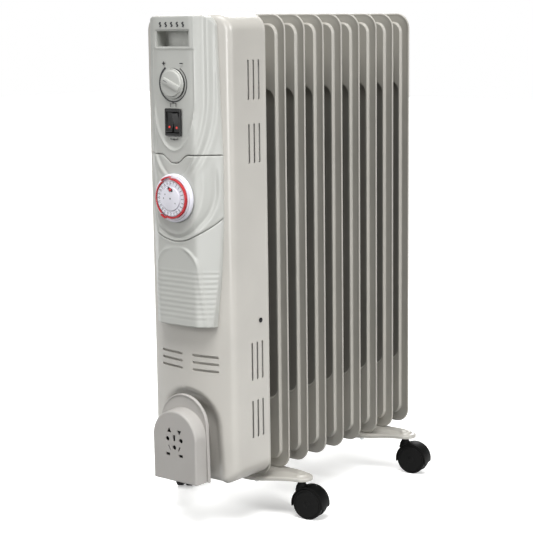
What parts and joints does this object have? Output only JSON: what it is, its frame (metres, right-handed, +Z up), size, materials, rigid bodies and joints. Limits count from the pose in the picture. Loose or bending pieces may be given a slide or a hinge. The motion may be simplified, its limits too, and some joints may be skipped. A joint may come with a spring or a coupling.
{
  "type": "oil filled radiator heater",
  "caption": "Upright oil filled radiator heater with pressed fins, a front control housing with knob, rockers and a day timer, a cord tidy, and two foot brackets on twin casters.",
  "frame": {"origin": "centre of the bounding box in plan, on the floor under the casters", "axes": "+X to the right seen from the front, -Y towards the control panel, +Z up"},
  "size_m": [0.271, 0.437, 0.6305],
  "materials": {
    "fin_paint": "satin",
    "housing_paint": "satin",
    "panel_plastic": "satin",
    "tidy_plastic": "satin",
    "zinc_steel": "satin",
    "element_steel": "satin",
    "brass": "satin",
    "switch_black": "gloss",
    "rocker_lens": "gloss",
    "timer_white": "satin",
    "timer_red": "satin",
    "caster_black": "satin"
  },
  "bodies": {
    "heater": {"cable_gland": "switch_black", "cord_core": "tidy_plastic", "cord_cover": "tidy_plastic", "core_screws": "zinc_steel", "element_fitting": "brass", "filler_plug": "zinc_steel", "fin_1": "fin_paint", "fin_2": "fin_paint", "fin_3": "fin_paint", "fin_4": "fin_paint", "fin_5": "fin_paint", "fin_6": "fin_paint", "fin_7": "fin_paint", "fin_8": "fin_paint", "fin_9": "fin_paint", "foot_front": "housing_paint", "foot_rear": "housing_paint", "hand_pocket": "panel_plastic", "heating_element": "element_steel", "housing_shell": "housing_paint", "hub_caps": "fin_paint", "rear_plate": "zinc_steel", "ribbed_panel": "panel_plastic", "side_screws": "zinc_steel", "switch_bezel": "switch_black", "switch_body": "switch_black", "terminal_block": "timer_white", "thermal_cutout": "zinc_steel", "thermostat_body": "zinc_steel", "timer_base": "timer_white", "timer_case": "timer_white", "timer_hub": "timer_white", "timer_panel": "panel_plastic", "u_bolts": "zinc_steel", "upper_panel": "panel_plastic", "wing_nuts": "zinc_steel"},
    "knob": {"thermostat_knob": "panel_plastic", "thermostat_shaft": "zinc_steel"},
    "left_rocker": {"rocker_left": "rocker_lens"},
    "right_rocker": {"rocker_right": "rocker_lens"},
    "timer_ring": {"timer_dial": "timer_white", "timer_tappets": "timer_red"},
    "mode_slider": {"mode_lever": "timer_red"},
    "swivel_front_left": {"caster_hood_front_left": "caster_black", "caster_pins_front_left": "zinc_steel"},
    "roller_a_front_left": {"wheel_a_front_left": "caster_black"},
    "roller_b_front_left": {"wheel_b_front_left": "caster_black"},
    "swivel_front_right": {"caster_hood_front_right": "caster_black", "caster_pins_front_right": "zinc_steel"},
    "roller_a_front_right": {"wheel_a_front_right": "caster_black"},
    "roller_b_front_right": {"wheel_b_front_right": "caster_black"},
    "swivel_rear_left": {"caster_hood_rear_left": "caster_black", "caster_pins_rear_left": "zinc_steel"},
    "roller_a_rear_left": {"wheel_a_rear_left": "caster_black"},
    "roller_b_rear_left": {"wheel_b_rear_left": "caster_black"},
    "swivel_rear_right": {"caster_hood_rear_right": "caster_black", "caster_pins_rear_right": "zinc_steel"},
    "roller_a_rear_right": {"wheel_a_rear_right": "caster_black"},
    "roller_b_rear_right": {"wheel_b_rear_right": "caster_black"}
  },
  "joints": [
    {"name": "knob_turn", "type": "hinge", "parent": "heater", "child": "knob", "pos_m": [0, -0.206, 0.5495], "axis": [0, 1, 0], "range_deg": [-258, 31]},
    {"name": "left_rocker_tilt", "type": "hinge", "parent": "heater", "child": "left_rocker", "pos_m": [-0.005, -0.2045, 0.5035], "axis": [1, 0, 0], "range_deg": [-16, 0]},
    {"name": "right_rocker_tilt", "type": "hinge", "parent": "heater", "child": "right_rocker", "pos_m": [0.005, -0.2045, 0.5035], "axis": [1, 0, 0], "range_deg": [0, 16]},
    {"name": "timer_turn", "type": "hinge", "parent": "heater", "child": "timer_ring", "pos_m": [0, -0.2106, 0.4125], "axis": [0, 1, 0], "continuous": true},
    {"name": "mode_slide", "type": "slide", "parent": "heater", "child": "mode_slider", "axis": [0.9063, 0, -0.4226], "range_m": [-0.002, 0.002]},
    {"name": "swivel_turn_front_left", "type": "hinge", "parent": "heater", "child": "swivel_front_left", "pos_m": [-0.1, -0.0905, 0.0465], "axis": [0, 0, 1], "continuous": true},
    {"name": "roll_a_front_left", "type": "hinge", "parent": "swivel_front_left", "child": "roller_a_front_left", "pos_m": [-0.106, -0.08011, 0.02], "axis": [-0.866, -0.5, 0], "continuous": true},
    {"name": "roll_b_front_left", "type": "hinge", "parent": "swivel_front_left", "child": "roller_b_front_left", "pos_m": [-0.106, -0.08011, 0.02], "axis": [-0.866, -0.5, 0], "continuous": true},
    {"name": "swivel_turn_front_right", "type": "hinge", "parent": "heater", "child": "swivel_front_right", "pos_m": [0.1, -0.0905, 0.0465], "axis": [0, 0, 1], "continuous": true},
    {"name": "roll_a_front_right", "type": "hinge", "parent": "swivel_front_right", "child": "roller_a_front_right", "pos_m": [0.11182, -0.08842, 0.02], "axis": [-0.1736, 0.9848, 0], "continuous": true},
    {"name": "roll_b_front_right", "type": "hinge", "parent": "swivel_front_right", "child": "roller_b_front_right", "pos_m": [0.11182, -0.08842, 0.02], "axis": [-0.1736, 0.9848, 0], "continuous": true},
    {"name": "swivel_turn_rear_left", "type": "hinge", "parent": "heater", "child": "swivel_rear_left", "pos_m": [-0.1, 0.1495, 0.0465], "axis": [0, 0, 1], "continuous": true},
    {"name": "roll_a_rear_left", "type": "hinge", "parent": "swivel_rear_left", "child": "roller_a_rear_left", "pos_m": [-0.11182, 0.15158, 0.02], "axis": [-0.1736, -0.9848, 0], "continuous": true},
    {"name": "roll_b_rear_left", "type": "hinge", "parent": "swivel_rear_left", "child": "roller_b_rear_left", "pos_m": [-0.11182, 0.15158, 0.02], "axis": [-0.1736, -0.9848, 0], "continuous": true},
    {"name": "swivel_turn_rear_right", "type": "hinge", "parent": "heater", "child": "swivel_rear_right", "pos_m": [0.1, 0.1495, 0.0465], "axis": [0, 0, 1], "continuous": true},
    {"name": "roll_a_rear_right", "type": "hinge", "parent": "swivel_rear_right", "child": "roller_a_rear_right", "pos_m": [0.11182, 0.15158, 0.02], "axis": [-0.1736, 0.9848, 0], "continuous": true},
    {"name": "roll_b_rear_right", "type": "hinge", "parent": "swivel_rear_right", "child": "roller_b_rear_right", "pos_m": [0.11182, 0.15158, 0.02], "axis": [-0.1736, 0.9848, 0], "continuous": true}
  ]
}
